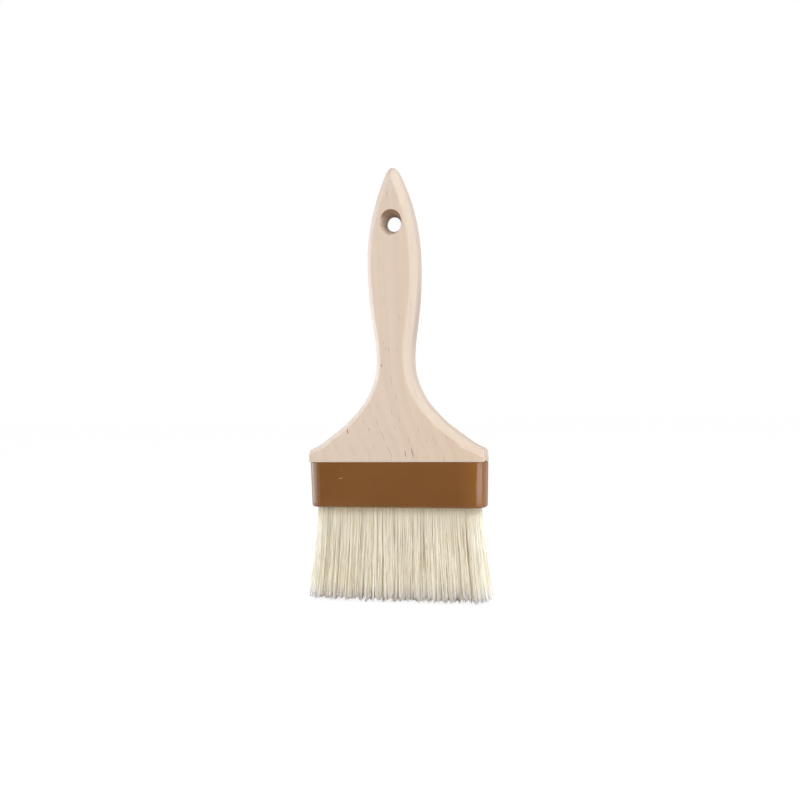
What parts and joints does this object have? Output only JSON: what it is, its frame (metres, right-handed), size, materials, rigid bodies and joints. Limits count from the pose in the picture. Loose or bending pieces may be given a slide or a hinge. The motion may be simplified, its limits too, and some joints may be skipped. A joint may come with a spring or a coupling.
{
  "type": "pastry brush",
  "caption": "Flat pastry brush with a shaped hardwood handle, hanging hole, moulded ferrule and two banks of natural bristle that flex at the ferrule's mouth.",
  "frame": {"origin": "on the plane of the bristle tips, at the middle of the width and of the thickness", "axes": "+Z along the handle towards its pointed end, +X across the width, +Y through the thickness towards the back face (front face is -Y)"},
  "size_m": [0.1036, 0.018, 0.2404],
  "materials": {
    "handle_wood": "bare pale hardwood, fine straight grain, unvarnished",
    "ferrule_plastic": "semi-gloss moulded brown plastic",
    "bristle": "natural cream bristle, slight sheen",
    "bristle_root": "bristle stained by setting resin",
    "plug_wood": "sawn filler strip",
    "resin": "cured amber resin",
    "adhesive": "cured adhesive"
  },
  "bodies": {
    "brush_frame": {"handle": "handle_wood", "ferrule": "ferrule_plastic", "handle_adhesive": "adhesive", "resin_setting": "resin", "spacer_plug": "plug_wood", "bristle_roots_front": "bristle_root", "bristle_roots_back": "bristle_root"},
    "bristle_pack": {"bristles_front": "bristle", "bristles_back": "bristle"}
  },
  "joints": [
    {"name": "bristle_flex", "type": "hinge", "parent": "brush_frame", "child": "bristle_pack", "pos_m": [0, 0, 0.051], "axis": [1, 0, 0], "range_deg": [-25, 25], "stiffness_Nm_per_rad": 0.25}
  ]
}
